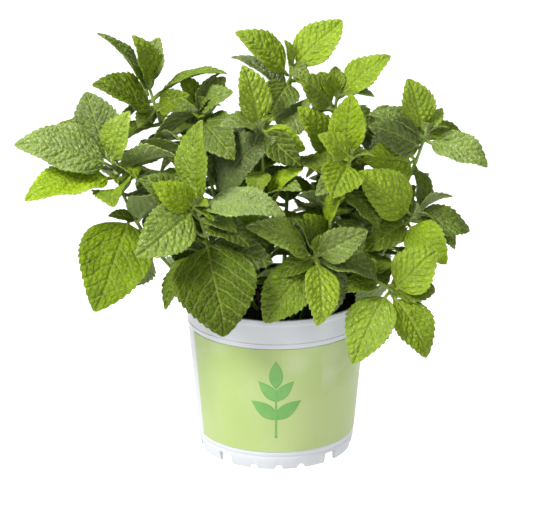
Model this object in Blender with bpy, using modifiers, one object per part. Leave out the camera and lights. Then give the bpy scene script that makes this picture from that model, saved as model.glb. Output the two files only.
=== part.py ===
"""Potted mint plant: a nursery pot with its label and potting mix, stems and leaves.

Metres, +Z up.  The origin is the middle of the plant's footprint, on the surface
that the pot stands on.  The plant spreads further to the left (-X) and to the back
(+Y), so the pot's own axis stands off the origin, at POT_AXIS.
The front of the label faces -Y.
"""
import math

import bmesh
import bpy
from mathutils import Matrix, Vector
from mathutils.bvhtree import BVHTree

MM = 0.001

# Driving dimensions of the pot, in millimetres.
POT_AXIS = (12.0, -14.0)      # where the pot's axis stands, from the origin
RIM_Z = 101.6                 # height of the rim's top
LIP_RADIUS = 57.7             # outer radius of the rolled lip
LIP_HEIGHT = 3.8
BODY_RADIUS_LOW = 50.0        # outer radius of the body at LABEL_LOW_Z
BODY_DRAFT = 0.0856           # growth of that radius for each millimetre of height
LABEL_LOW_Z = 12.3
LABEL_HIGH_Z = 82.4
LABEL_START = -156.0          # degrees from +X; the label runs on from here
LABEL_SWEEP = 306.0           # and leaves a bare strip on the pot's left side
LABEL_FILM = 0.4
LABEL_SINK = 0.5              # how deep the label's panel is let into the wall
WALL = 1.3
FLOOR_LOW_Z = 6.5
FLOOR = 1.4
FOOT_RADIUS = 48.2            # outer radius of the skirt where it meets the ground
FOOT_WALL = 1.8
DRAIN_RADIUS = 5.0
LINER = 0.6
GAP = 0.3                     # clearance between pieces that touch
SIDES = 60                    # flat sides round the pot

# The skirt under the floor stands on three wide and three narrow feet.
FOOT_CENTRE = -88.0           # degrees; the middle of the front wide foot
WIDE_FOOT = 74.0
NARROW_FOOT = 24.0
FOOT_SLOT_HEIGHT = 6.0
NOTCH_ANGLES = (-19.0, 0.0, 17.0)
NOTCH_RADIUS = 2.6

MIX_TOP_Z = 87.0

# Driving dimensions of the greenery, in millimetres.
STEM_RADIUS = 1.3
STEM_TIP_SHARE = 0.62         # thickness left at the tip of a stem
STEM_POINTS = 10
STEM_FOOT_GAP = 1.2           # the slanting cut end stays this far above the mix
LEAF_THICKNESS = 0.6
LEAF_STATIONS = 9             # rows of points from the petiole to the tip
PETIOLE_SHARE = 0.10          # part of a leaf's length that is petiole
PETIOLE_WIDTH = 1.8
TIP_WIDTH = 0.7
NODE_CLEARANCE = 1.4          # from a stem's surface to the end of a petiole

# Each stem is one smooth bow from the potting mix to its tip.  All points are
# measured from the pot's axis: the foot (x, y), the pull of the bow, the tip.
STEMS = {
    "upper_left": ((-14, 10), (-60, 32, 150), (-80, 35, 226)),
    "left": ((-28, -10), (-88, -38, 140), (-100, -15, 191)),
    "mid_left": ((-16, 22), (-44, 36, 150), (-49, 34, 212)),
    "front_left": ((-28, -22), (-38, -48, 140), (-48, -56, 174)),
    "centre": ((-4, -6), (-8, -4, 160), (-9, -6, 210)),
    "top": ((4, 14), (8, 24, 170), (9, 30, 240)),
    "top_right": ((14, 6), (30, 18, 160), (38, 20, 223)),
    "right": ((28, 10), (80, 14, 146), (94, 15, 203)),
    "mid_right": ((30, -6), (66, -14, 130), (86, -12, 156)),
    "low_right": ((24, -24), (50, -42, 146), (72, -46, 114)),
    "front": ((8, -30), (20, -46, 132), (24, -52, 141)),
    "inner_right": ((16, -12), (34, -20, 150), (46, -26, 198)),
    "back_left": ((-18, 34), (-40, 66, 146), (-48, 72, 200)),
    "back_right": ((20, 30), (44, 62, 144), (56, 68, 192)),
}

# Each leaf: its stem, how far up the stem it grows, where its tip ends (x, y, z from
# the pot's axis), its width, how far its middle bows above the straight line as a
# share of its length, and how far it is rolled about its midrib, in degrees.
LEAVES = (
    ("upper_left", 0.97, (-109, 30, 262), 26, 0.06, -10),
    ("upper_left", 0.90, (-112, 14, 236), 28, 0.08, -40),
    ("upper_left", 0.95, (-31, 30, 236), 22, 0.10, 0),
    ("left", 0.99, (-117, 2, 230), 30, 0.06, -40),
    ("left", 0.97, (-156, -34, 208), 34, 0.08, -20),
    ("left", 0.90, (-151, -46, 176), 34, 0.10, -20),
    ("left", 0.93, (-55, -6, 196), 27, 0.08, -45),
    ("left", 0.68, (-109, -66, 112), 45, 0.10, -25),
    ("mid_left", 0.99, (-27, 14, 227), 19, 0.08, 50),
    ("mid_left", 0.94, (-27, -10, 192), 29, 0.10, 35),
    ("mid_left", 0.50, (-5, -16, 205), 42, 0.08, 75),
    ("front_left", 0.99, (-46, -50, 225), 27, 0.05, -40),
    ("front_left", 0.98, (5, -76, 176), 30, 0.08, 20),
    ("front_left", 0.96, (-82, -84, 152), 30, 0.10, -50),
    ("front_left", 0.90, (-81, -50, 193), 25, 0.08, -35),
    ("front_left", 0.70, (-31, -80, 100), 50, 0.10, 20),
    ("front_left", 0.56, (-68, -62, 112), 26, 0.10, 0),
    ("centre", 0.99, (-20, 0, 247), 23, 0.06, -30),
    ("top", 0.99, (41, 36, 268), 26, 0.06, 50),
    ("top", 0.96, (-24, 26, 263), 25, 0.08, -40),
    ("top", 0.93, (-3, 6, 216), 22, 0.10, -30),
    ("top_right", 0.99, (70, 24, 249), 23, 0.06, 35),
    ("top_right", 0.95, (15, 6, 239), 21, 0.08, -80),
    ("inner_right", 0.98, (45, -22, 234), 24, 0.05, 0),
    ("inner_right", 0.94, (34, -50, 178), 26, 0.10, -25),
    ("right", 0.99, (82, 14, 235), 22, 0.05, -80),
    ("right", 0.93, (132, 4, 183), 25, 0.10, 30),
    ("right", 0.90, (58, -4, 210), 24, 0.10, -75),
    ("right", 0.80, (54, -16, 198), 28, 0.10, -75),
    ("mid_right", 0.97, (50, -28, 187), 29, 0.08, -80),
    ("mid_right", 0.92, (121, -6, 144), 24, 0.12, 35),
    ("mid_right", 0.88, (103, -42, 134), 24, 0.12, 40),
    ("low_right", 0.97, (97, -48, 143), 28, 0.06, 70),
    ("low_right", 0.95, (46, -74, 81), 30, 0.10, -20),
    ("low_right", 0.99, (92, -64, 81), 26, 0.10, 25),
    ("front", 0.97, (26, -74, 105), 24, 0.08, -25),
    ("front", 0.93, (-17, -66, 165), 26, 0.10, -35),
    ("front", 0.86, (-7, -66, 104), 29, 0.10, -50),
    ("back_left", 0.96, (-92, 98, 192), 32, 0.12, 0),
    ("back_left", 0.88, (-26, 112, 170), 36, 0.14, 0),
    ("back_right", 0.96, (100, 90, 190), 32, 0.12, 0),
    ("back_right", 0.86, (36, 110, 154), 38, 0.14, 0),
)


def body_radius(z):
    """Outer radius of the tapered pot body at height z."""
    return BODY_RADIUS_LOW + (z - LABEL_LOW_Z) * BODY_DRAFT


def make_material(name, colour, roughness):
    """A Principled material with one colour."""
    material = bpy.data.materials.new(name)
    material.use_nodes = True
    shader = material.node_tree.nodes["Principled BSDF"]
    shader.inputs["Base Color"].default_value = (*colour, 1.0)
    shader.inputs["Roughness"].default_value = roughness
    shader.inputs["Metallic"].default_value = 0.0
    return material


def add_object(name, data, material, collection, parent):
    """Link a new object with its material under the plant's empty."""
    thing = bpy.data.objects.new(name, data)
    if material is not None:
        data.materials.append(material)
    collection.objects.link(thing)
    thing.parent = parent
    return thing


def profile_mesh(name, points, closed):
    """A thin outline in the XZ plane, ready for a Screw modifier."""
    mesh = bpy.data.meshes.new(name)
    shape = bmesh.new()
    corners = [shape.verts.new((radius * MM, 0.0, z * MM)) for radius, z in points]
    for first, second in zip(corners, corners[1:]):
        shape.edges.new((first, second))
    if closed:
        shape.edges.new((corners[-1], corners[0]))
    shape.to_mesh(mesh)
    shape.free()
    return mesh


def add_screw(thing, sweep):
    """Turn an outline about Z, a whole turn or part of one."""
    screw = thing.modifiers.new("turn", "SCREW")
    screw.axis = "Z"
    screw.angle = math.radians(sweep)
    screw.steps = round(SIDES * sweep / 360.0)
    screw.render_steps = screw.steps
    screw.use_merge_vertices = sweep == 360.0
    screw.merge_threshold = 0.00005
    screw.use_smooth_shade = True
    return screw


def pot_profile():
    """Section of the white pot: down the outside, in along the base, up the inside."""
    lip_low = RIM_Z - LIP_HEIGHT
    inner_top = body_radius(RIM_Z) - LABEL_SINK - WALL
    floor_top = FLOOR_LOW_Z + FLOOR
    panel_low = LABEL_LOW_Z - GAP
    panel_high = LABEL_HIGH_Z + GAP
    outside = [
        (LIP_RADIUS - 0.5, RIM_Z),
        (LIP_RADIUS, RIM_Z - 0.6),
        (LIP_RADIUS, lip_low),
        (body_radius(lip_low) - 0.4, lip_low - 0.5),
        (body_radius(panel_high), panel_high),
        (body_radius(panel_high) - LABEL_SINK, panel_high),
        (body_radius(panel_low) - LABEL_SINK, panel_low),
        (body_radius(panel_low), panel_low),
        (body_radius(FLOOR_LOW_Z), FLOOR_LOW_Z),
        (FOOT_RADIUS, 0.0),
    ]
    base = [
        (FOOT_RADIUS - FOOT_WALL, 0.0),
        (FOOT_RADIUS - FOOT_WALL, FLOOR_LOW_Z),
        (DRAIN_RADIUS, FLOOR_LOW_Z),
        (DRAIN_RADIUS, floor_top),
    ]
    inside = [
        (body_radius(floor_top) - LABEL_SINK - WALL, floor_top),
        (inner_top, RIM_Z),
    ]
    return outside + base + inside


def foot_cutters(collection, parent):
    """Blocks and short rods that cut the skirt into its feet."""
    slot_width = (360.0 - 3.0 * (WIDE_FOOT + NARROW_FOOT)) / 6.0
    cut_radius = FOOT_RADIUS - FOOT_WALL / 2.0
    for third in range(3):
        middle = FOOT_CENTRE + 120.0 * third
        for side in (-1.0, 1.0):
            angle = math.radians(middle + side * (WIDE_FOOT + slot_width) / 2.0)
            name = f"cut_slot_{third}_{'right' if side > 0.0 else 'left'}"
            mesh = bpy.data.meshes.new(name)
            shape = bmesh.new()
            bmesh.ops.create_cube(shape, size=1.0)
            width = 2.0 * cut_radius * math.tan(math.radians(slot_width / 2.0))
            scale = Matrix.Diagonal((8.0 * MM, width * MM, 2.0 * FOOT_SLOT_HEIGHT * MM, 1.0))
            bmesh.ops.transform(shape, matrix=scale, verts=shape.verts)
            shape.to_mesh(mesh)
            shape.free()
            cutter = add_object(name, mesh, None, collection, parent)
            place = Vector((math.cos(angle), math.sin(angle), 0.0)) * cut_radius * MM
            cutter.location = place
            cutter.rotation_euler = (0.0, 0.0, angle)
        for index, turn in enumerate(NOTCH_ANGLES):
            angle = math.radians(middle + turn)
            name = f"cut_notch_{third}_{index}"
            mesh = bpy.data.meshes.new(name)
            shape = bmesh.new()
            bmesh.ops.create_cone(shape, cap_ends=True, segments=12, depth=8.0 * MM,
                                  radius1=NOTCH_RADIUS * MM, radius2=NOTCH_RADIUS * MM)
            bmesh.ops.rotate(shape, verts=shape.verts,
                             matrix=Matrix.Rotation(math.radians(90.0), 3, "Y"))
            shape.to_mesh(mesh)
            shape.free()
            cutter = add_object(name, mesh, None, collection, parent)
            place = Vector((math.cos(angle), math.sin(angle), 0.0)) * cut_radius * MM
            cutter.location = place
            cutter.rotation_euler = (0.0, 0.0, angle)
    for cutter in collection.objects:
        cutter.hide_render = True
        cutter.display_type = "WIRE"


def build_pot(collection, cutters, parent):
    """The white pot, turned and then cut into feet."""
    white = make_material("white_plastic", (0.86, 0.87, 0.88), 0.35)
    pot = add_object("pot", profile_mesh("pot", pot_profile(), True), white, collection, parent)
    add_screw(pot, 360.0)
    foot_cutters(cutters, parent)
    cut = pot.modifiers.new("feet", "BOOLEAN")
    cut.operation = "DIFFERENCE"
    cut.operand_type = "COLLECTION"
    cut.collection = cutters
    cut.solver = "EXACT"


def build_liner(collection, parent):
    """The black skin that lines the pot's wall and floor."""
    black = make_material("black_plastic", (0.012, 0.012, 0.013), 0.25)
    inset = LABEL_SINK + WALL + GAP
    low = FLOOR_LOW_Z + FLOOR + GAP
    high = RIM_Z - 0.4
    points = [
        (body_radius(high) - inset, high),
        (body_radius(low) - inset, low),
        (DRAIN_RADIUS + 0.4, low),
        (DRAIN_RADIUS + 0.4, low + LINER),
        (body_radius(low + LINER) - inset - LINER, low + LINER),
        (body_radius(high) - inset - LINER, high),
    ]
    liner = add_object("pot_liner", profile_mesh("pot_liner", points, True), black,
                       collection, parent)
    add_screw(liner, 360.0)


def build_mix(collection, parent):
    """The potting mix, filling the lined pot up to its surface."""
    brown = make_material("potting_mix", (0.030, 0.020, 0.014), 0.95)
    inset = LABEL_SINK + WALL + LINER + 2.0 * GAP
    low = FLOOR_LOW_Z + FLOOR + LINER + 2.0 * GAP
    mesh = bpy.data.meshes.new("potting_mix")
    shape = bmesh.new()
    bmesh.ops.create_cone(shape, cap_ends=True, segments=SIDES,
                          radius1=(body_radius(low) - inset) * MM,
                          radius2=(body_radius(MIX_TOP_Z) - inset) * MM,
                          depth=(MIX_TOP_Z - low) * MM)
    bmesh.ops.translate(shape, verts=shape.verts, vec=(0.0, 0.0, (MIX_TOP_Z + low) / 2.0 * MM))
    shape.to_mesh(mesh)
    shape.free()
    mix = add_object("potting_mix", mesh, brown, collection, parent)
    mix.data.shade_smooth()
    mix.data.set_sharp_from_angle(angle=math.radians(30.0))


def build_label(collection, parent):
    """The film round the body, with a bare strip left on one side."""
    green = make_material("label_film", (0.65, 0.80, 0.35), 0.4)
    lift = GAP - LABEL_SINK
    points = [
        (body_radius(LABEL_HIGH_Z) + lift, LABEL_HIGH_Z),
        (body_radius(LABEL_LOW_Z) + lift, LABEL_LOW_Z),
    ]
    label = add_object("label", profile_mesh("label", points, False), green, collection, parent)
    label.rotation_euler = (0.0, 0.0, math.radians(LABEL_START))
    add_screw(label, LABEL_SWEEP)
    film = label.modifiers.new("film", "SOLIDIFY")
    film.thickness = LABEL_FILM * MM
    film.offset = 1.0


def stem_point(name, share):
    """A point on a stem's bow, in millimetres from the pot's axis."""
    foot, pull, tip = STEMS[name]
    start = Vector((foot[0], foot[1], MIX_TOP_Z + STEM_FOOT_GAP))
    rest = 1.0 - share
    return start * rest * rest + Vector(pull) * 2.0 * share * rest + Vector(tip) * share * share


def stem_direction(name, share):
    """The stem's direction at a point on its bow."""
    ahead = min(1.0, share + 0.01)
    behind = max(0.0, share - 0.01)
    return (stem_point(name, ahead) - stem_point(name, behind)).normalized()


def stem_radius(share):
    """A stem thins evenly from its foot to its tip."""
    return STEM_RADIUS * (1.0 - share * (1.0 - STEM_TIP_SHARE))


def build_stem(name, material, collection, parent):
    """One stem, a round tube along its bow."""
    curve = bpy.data.curves.new(f"stem_{name}", "CURVE")
    curve.dimensions = "3D"
    curve.bevel_depth = STEM_RADIUS * MM
    curve.bevel_resolution = 2
    curve.use_fill_caps = True
    line = curve.splines.new("POLY")
    line.points.add(STEM_POINTS - 1)
    for index, point in enumerate(line.points):
        share = index / (STEM_POINTS - 1)
        point.co = (*(stem_point(name, share) * MM), 1.0)
        point.radius = stem_radius(share) / STEM_RADIUS
    add_object(f"stem_{name}", curve, material, collection, parent)


def half_width(along, width):
    """Half the leaf's width: a narrow petiole, an egg-shaped blade, a fine tip."""
    if along < PETIOLE_SHARE:
        return PETIOLE_WIDTH / 2.0
    blade = (along - PETIOLE_SHARE) / (1.0 - PETIOLE_SHARE)
    egg = math.sin(math.pi * blade ** 0.72) ** 0.85 if blade < 1.0 else 0.0
    narrow = PETIOLE_WIDTH * (1.0 - blade) + TIP_WIDTH * blade
    return max(width * egg, narrow) / 2.0


def leaf_surface(leaf, extra_roll, lift):
    """Rows of three points across the leaf, from its petiole to its tip."""
    stem, share, tip, width, bow, roll = leaf
    node = stem_point(stem, share)
    axis = stem_direction(stem, share)
    reach = Vector(tip) - node
    outward = reach - axis * reach.dot(axis)
    start = node + outward.normalized() * (stem_radius(share) + NODE_CLEARANCE)
    end = Vector(tip) + Vector((0.0, 0.0, lift))
    length = (end - start).length
    along = (end - start) / length
    side = along.cross(Vector((0.0, 0.0, 1.0))).normalized()
    side = Matrix.Rotation(math.radians(roll + extra_roll), 3, along) @ side
    up = side.cross(along)
    rows = []
    for station in range(LEAF_STATIONS):
        share_along = station / (LEAF_STATIONS - 1)
        half = half_width(share_along, width)
        arch = bow * length * 4.0 * share_along * (1.0 - share_along)
        middle = start + along * length * share_along + up * arch
        fold = 0.18 * half
        rows.append([middle - side * half + up * fold,
                     middle,
                     middle + side * half + up * fold])
    return rows


def sheet_tree(rows, skip, spread):
    """A search tree of a leaf, thickened by `spread`, for the test of contact."""
    corners = []
    faces = []
    for direction in (-1.0, 1.0):
        base = len(corners)
        for row in rows[skip:]:
            normal = (row[2] - row[0]).cross(rows[-1][1] - rows[0][1]).normalized()
            corners.extend(point + normal * spread * direction for point in row)
        for step in range(len(rows) - skip - 1):
            for column in range(2):
                low = base + step * 3 + column
                faces.append((low, low + 1, low + 4, low + 3))
    return BVHTree.FromPolygons(corners, faces)


def tube_tree(name):
    """A search tree of a stem, a little thicker than the stem itself."""
    corners = []
    faces = []
    sides = 8
    for index in range(STEM_POINTS):
        share = index / (STEM_POINTS - 1)
        centre = stem_point(name, share)
        axis = stem_direction(name, share)
        first = axis.orthogonal().normalized()
        second = axis.cross(first)
        radius = stem_radius(share) + 0.5
        for turn in range(sides):
            angle = 2.0 * math.pi * turn / sides
            corners.append(centre + (first * math.cos(angle) + second * math.sin(angle)) * radius)
    for index in range(STEM_POINTS - 1):
        for turn in range(sides):
            low = index * sides + turn
            high = index * sides + (turn + 1) % sides
            faces.append((low, high, high + sides, low + sides))
    return BVHTree.FromPolygons(corners, faces)


def settle_leaf(leaf, placed, tubes):
    """Turn and lift a leaf in small steps until it hangs clear of its neighbours."""
    tries = sorted(((roll, lift) for roll in range(-48, 49, 8) for lift in range(-15, 16, 3)),
                   key=lambda move: abs(move[0]) + 2.0 * abs(move[1]))
    for roll, lift in tries:
        rows = leaf_surface(leaf, roll, lift)
        whole = sheet_tree(rows, 0, 0.6)
        blade = sheet_tree(rows, 1, 0.6)
        if any(whole.overlap(other) for other in placed):
            continue
        if any((blade if name == leaf[0] else whole).overlap(tree)
               for name, tree in tubes.items()):
            continue
        placed.append(whole)
        return rows
    raise RuntimeError(f"no clear place for the leaf {leaf}")


def build_leaf(name, rows, material, collection, parent):
    """One leaf: a grid bent to the leaf's surface and given its thickness."""
    mesh = bpy.data.meshes.new(name)
    shape = bmesh.new()
    bmesh.ops.create_grid(shape, x_segments=2, y_segments=LEAF_STATIONS - 1, size=1.0)
    for corner in shape.verts:
        column = round(corner.co.x + 1.0)
        station = round((corner.co.y + 1.0) / 2.0 * (LEAF_STATIONS - 1))
        corner.co = rows[station][column] * MM
    shape.to_mesh(mesh)
    shape.free()
    leaf = add_object(name, mesh, material, collection, parent)
    leaf.data.shade_smooth()
    skin = leaf.modifiers.new("thickness", "SOLIDIFY")
    skin.thickness = LEAF_THICKNESS * MM
    skin.offset = 0.0


def build_greenery(collection, parent):
    """All stems, then all leaves, numbered along each stem."""
    green = make_material("stem_green", (0.16, 0.27, 0.05), 0.5)
    young = make_material("leaf_young", (0.25, 0.43, 0.03), 0.45)
    old = make_material("leaf_old", (0.08, 0.20, 0.02), 0.45)
    tubes = {}
    for name in STEMS:
        build_stem(name, green, collection, parent)
        tubes[name] = tube_tree(name)
    counts = dict.fromkeys(STEMS, 0)
    placed = []
    for leaf in LEAVES:
        stem, share = leaf[:2]
        counts[stem] += 1
        rows = settle_leaf(leaf, placed, tubes)
        material = young if share > 0.94 else old
        build_leaf(f"leaf_{stem}_{counts[stem]}", rows, material, collection, parent)


def main():
    """Empty the scene and build the plant."""
    for thing in list(bpy.data.objects):
        bpy.data.objects.remove(thing)
    plant = bpy.data.collections.new("potted_mint")
    cutters = bpy.data.collections.new("cutters")
    bpy.context.scene.collection.children.link(plant)
    bpy.context.scene.collection.children.link(cutters)
    axis = bpy.data.objects.new("pot_axis", None)
    plant.objects.link(axis)
    axis.location = (POT_AXIS[0] * MM, POT_AXIS[1] * MM, 0.0)
    build_pot(plant, cutters, axis)
    build_liner(plant, axis)
    build_mix(plant, axis)
    build_label(plant, axis)
    build_greenery(plant, axis)


main()
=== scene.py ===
"""Potted mint plant: the looks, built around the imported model.

Every stem and large leaf is read back from its CAD node and grown again in full
detail: toothed outline, quilted blade, veins and petiole.  The smaller leaves that
the CAD leaves out are placed from the CAD stems.  Lengths are in metres, but the
tables of smaller leaves, crowns and sections are in millimetres, as their comments say.
"""
import math

import bmesh
import bpy
import numpy as np
from mathutils import Matrix, Vector
from mathutils.bvhtree import BVHTree


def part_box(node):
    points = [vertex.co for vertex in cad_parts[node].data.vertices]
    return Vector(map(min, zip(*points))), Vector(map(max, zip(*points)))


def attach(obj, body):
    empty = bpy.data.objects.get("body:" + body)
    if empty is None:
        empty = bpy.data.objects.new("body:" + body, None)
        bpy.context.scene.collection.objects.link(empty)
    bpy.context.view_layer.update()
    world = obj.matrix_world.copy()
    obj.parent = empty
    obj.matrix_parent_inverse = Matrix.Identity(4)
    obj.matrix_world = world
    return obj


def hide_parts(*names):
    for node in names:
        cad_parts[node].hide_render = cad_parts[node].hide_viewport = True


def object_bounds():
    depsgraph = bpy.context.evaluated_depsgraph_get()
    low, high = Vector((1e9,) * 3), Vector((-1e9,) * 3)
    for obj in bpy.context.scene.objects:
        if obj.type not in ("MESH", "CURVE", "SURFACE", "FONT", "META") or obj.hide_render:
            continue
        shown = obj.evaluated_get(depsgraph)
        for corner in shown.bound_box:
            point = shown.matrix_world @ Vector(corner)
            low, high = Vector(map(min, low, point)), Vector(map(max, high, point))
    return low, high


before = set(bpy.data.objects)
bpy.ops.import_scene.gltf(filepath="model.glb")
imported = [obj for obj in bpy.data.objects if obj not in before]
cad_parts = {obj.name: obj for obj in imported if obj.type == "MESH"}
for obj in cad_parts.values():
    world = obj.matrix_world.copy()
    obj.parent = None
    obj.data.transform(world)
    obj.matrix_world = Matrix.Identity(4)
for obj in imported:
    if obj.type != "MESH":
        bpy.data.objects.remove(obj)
cad_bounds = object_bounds()

MM = 0.001
UP = np.array((0.0, 0.0, 1.0))
FACING = np.array((0.0, -0.47, 1.15))    # upper sides of the leaves look this way
VIEW_PITCH = math.radians(18.0)          # the front view looks down by this much
VIEW = np.array((0.0, math.cos(VIEW_PITCH), -math.sin(VIEW_PITCH)))
VIEW_UP = (0.0, math.sin(VIEW_PITCH), math.cos(VIEW_PITCH))

# -------------------- the CAD places
POT_LOW, POT_HIGH = (np.array(corner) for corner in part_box("pot"))
LABEL_LOW, LABEL_HIGH = (np.array(corner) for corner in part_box("label"))
MIX_LOW, MIX_HIGH = (np.array(corner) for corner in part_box("potting_mix"))
AXIS = (POT_LOW + POT_HIGH) / 2.0 * (1.0, 1.0, 0.0)
RIM_Z = POT_HIGH[2]
LIP_RADIUS = (POT_HIGH[0] - POT_LOW[0]) / 2.0
LABEL_RADIUS_HIGH = (LABEL_HIGH[1] - LABEL_LOW[1]) / 2.0
MIX_RADIUS = (MIX_HIGH[0] - MIX_LOW[0]) / 2.0
MIX_TOP = MIX_HIGH[2]
BOX_LOW = np.array(cad_bounds[0]) + 0.5 * MM
BOX_HIGH = np.array(cad_bounds[1]) - 0.5 * MM

# -------------------- driving sizes
STEM_RADIUS = 1.45 * MM
STEM_TIP_RADIUS = 0.85 * MM
JOINTS = (0.30, 0.52, 0.70, 0.84, 0.94)     # places of the joints along a stem
JOINT_SWELL = 0.28
PETIOLE = 0.085               # share of a leaf's length that is petiole
STALK_ROWS = 8                # rows of points along a petiole
VEIN_ANGLE = 0.80             # run of a side vein along the leaf for each step outwards
CELL = 3.3 * MM               # width of a quilted cell on a large leaf
FILL_SHARES = (0.84, 0.70, 0.94, 0.52, 0.77, 0.62, 0.90, 0.42, 0.30)
FILL_TRIES = 14

DRAFT = 0.0856                # how much the pot's radius grows for each step upwards
POT_WALL = 1.8 * MM
LINER_INSET = 2.05 * MM
LIP_HEIGHT = 3.8 * MM
RIB_COUNT = 120.0
RIB_DEPTH = 0.06 * MM
GROOVE_HIGH = 86.0 * MM
GROOVE_LOW = 8.8 * MM
FLOOR_Z = 6.5 * MM
FOOT_CENTRE = -88.0           # the middle of the front foot, in degrees as are the next two
WIDE_FOOT = 74.0
SLOT = 11.0
SLOT_HEIGHT = 6.0 * MM
NOTCH_ANGLES = (-19.0, 0.0, 17.0)
NOTCH_RADIUS = 2.6 * MM
FOOT_RADIUS = 48.2 * MM
CRUMBS = 420
LABEL_START = -156.0          # where the film starts and how far it goes round, in degrees
LABEL_SWEEP = 306.0
LABEL_FILM = 0.3 * MM


def corners_of(node):
    """The separate corner points of a CAD node, as an array."""
    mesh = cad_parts[node].data
    points = np.empty(len(mesh.vertices) * 3)
    mesh.vertices.foreach_get("co", points)
    return np.unique(np.round(points.reshape(-1, 3), 6), axis=0)


def unit(vector):
    """The vector at length one."""
    return vector / np.linalg.norm(vector)


def around(radius, angle, height):
    """Points at a radius and an angle about an upright axis."""
    parts = np.broadcast_arrays(radius * np.cos(angle), radius * np.sin(angle), height)
    return np.stack(parts, axis=-1)


def noise(x, y, seed, cell):
    """Smooth noise of about -1 to 1 over a plane, with features of size `cell`."""
    rng = np.random.default_rng(seed)
    total = np.zeros(np.broadcast(x, y).shape)
    for _ in range(6):
        angle = rng.uniform(0.0, 2.0 * math.pi)
        rate = 2.0 * math.pi / (cell * rng.uniform(0.7, 1.6))
        phase = rng.uniform(0.0, 2.0 * math.pi)
        total += np.sin(rate * (x * math.cos(angle) + y * math.sin(angle)) + phase)
    return total / 2.6


# -------------------- meshes
def make_piece(name, corners, faces, material, node=None, sharp=None):
    """A mesh object that rides on the plant and may stand for a CAD node."""
    mesh = bpy.data.meshes.new(name)
    mesh.from_pydata(np.asarray(corners).tolist(), [], faces)
    mesh.shade_smooth()
    mesh.materials.append(material)
    if sharp is not None:
        mesh.set_sharp_from_angle(angle=math.radians(sharp))
    piece = bpy.data.objects.new(name, mesh)
    bpy.context.scene.collection.objects.link(piece)
    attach(piece, "root")
    if node is not None:
        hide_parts(node)
    return piece


def add_attribute(mesh, name, kind, values):
    """Store one value for each corner, for the material to read."""
    attribute = mesh.attributes.new(name, kind, "POINT")
    key = {"FLOAT": "value", "FLOAT_VECTOR": "vector", "FLOAT_COLOR": "color"}[kind]
    attribute.data.foreach_set(key, np.asarray(values, dtype=np.float32).ravel())


def grid_faces(rows, columns, start=0, flip=False, wrap=False):
    """Quads of a grid of points; with `wrap` its last column meets its first."""
    row = np.arange(rows - 1)[:, None]
    column = np.arange(columns if wrap else columns - 1)[None, :]
    after = (column + 1) % columns
    quads = np.stack([row * columns + column, row * columns + after,
                      (row + 1) * columns + after, (row + 1) * columns + column], axis=-1)
    quads = quads.reshape(-1, 4) + start
    if flip:
        quads = quads[:, ::-1]
    return quads.tolist()


def sheet_faces(rows, columns, flip=False):
    """Faces of a thin sheet: its upper grid, its lower grid and the rim between them."""
    count = rows * columns
    faces = grid_faces(rows, columns, 0, flip) + grid_faces(rows, columns, count, not flip)
    rim = ([*range(columns)] + [row * columns + columns - 1 for row in range(1, rows)]
           + [(rows - 1) * columns + column for column in range(columns - 2, -1, -1)]
           + [row * columns for row in range(rows - 2, 0, -1)])
    for first, second in zip(rim, rim[1:] + rim[:1]):
        quad = [second, first, first + count, second + count]
        faces.append(quad[::-1] if flip else quad)
    return faces


# -------------------- materials
class Nodes:
    """Short calls for building one material's node tree."""

    def __init__(self, name):
        self.material = bpy.data.materials.new(name)
        self.material.use_nodes = True
        self.tree = self.material.node_tree
        self.shader = self.tree.nodes["Principled BSDF"]
        self.output = self.tree.nodes["Material Output"]

    def new(self, kind, inputs=None, **settings):
        """Add a node; an input is a value or another node's socket."""
        node = self.tree.nodes.new(kind)
        for key, value in settings.items():
            setattr(node, key, value)
        for key, value in (inputs or {}).items():
            self.feed(node.inputs[key], value)
        return node

    def feed(self, socket, value):
        """Link a socket, or set its value."""
        if isinstance(value, bpy.types.NodeSocket):
            self.tree.links.new(value, socket)
        else:
            socket.default_value = value

    def add(self, first, second):
        """The sum of two values."""
        return self.new("ShaderNodeMath", {0: first, 1: second}, operation="ADD").outputs[0]

    def times(self, first, second):
        """The product of two values."""
        return self.new("ShaderNodeMath", {0: first, 1: second}, operation="MULTIPLY").outputs[0]

    def mix(self, factor, first, second):
        """Mix two colours."""
        return self.new("ShaderNodeMix", {0: factor, 6: first, 7: second},
                        data_type="RGBA").outputs[2]

    def read(self, name, output="Fac"):
        """A value that is stored at the mesh's corners."""
        return self.new("ShaderNodeAttribute", attribute_name=name).outputs[output]

    def ramp(self, factor, stops):
        """A colour ramp; each stop is (place, colour)."""
        node = self.new("ShaderNodeValToRGB", {0: factor})
        elements = node.color_ramp.elements
        while len(elements) < len(stops):
            elements.new(0.5)
        for element, (place, colour) in zip(elements, stops):
            element.position = place
            element.color = (*colour, 1.0)
        return node.outputs[0]

    def span(self, value, low, high, to_low=0.0, to_high=1.0):
        """Carry a value from one range to another, held at the ends."""
        node = self.new("ShaderNodeMapRange", {0: value, 1: low, 2: high, 3: to_low, 4: to_high})
        return node.outputs[0]

    def noise(self, vector, scale, detail=3.0, roughness=0.5):
        """The noise texture's value."""
        node = self.new("ShaderNodeTexNoise", {"Vector": vector, "Scale": scale,
                                               "Detail": detail, "Roughness": roughness})
        return node.outputs[0]

    def bump(self, height, strength, distance):
        """A bump for the shader's normal."""
        node = self.new("ShaderNodeBump", {"Height": height, "Strength": strength,
                                           "Distance": distance})
        return node.outputs[0]

    def place(self):
        """The point on the model, which doesn't change with the view."""
        return self.new("ShaderNodeTexCoord").outputs["Object"]

    def set(self, **values):
        """Set or link the shader's inputs; underscores stand for spaces."""
        for key, value in values.items():
            self.feed(self.shader.inputs[key.replace("_", " ")], value)


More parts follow.
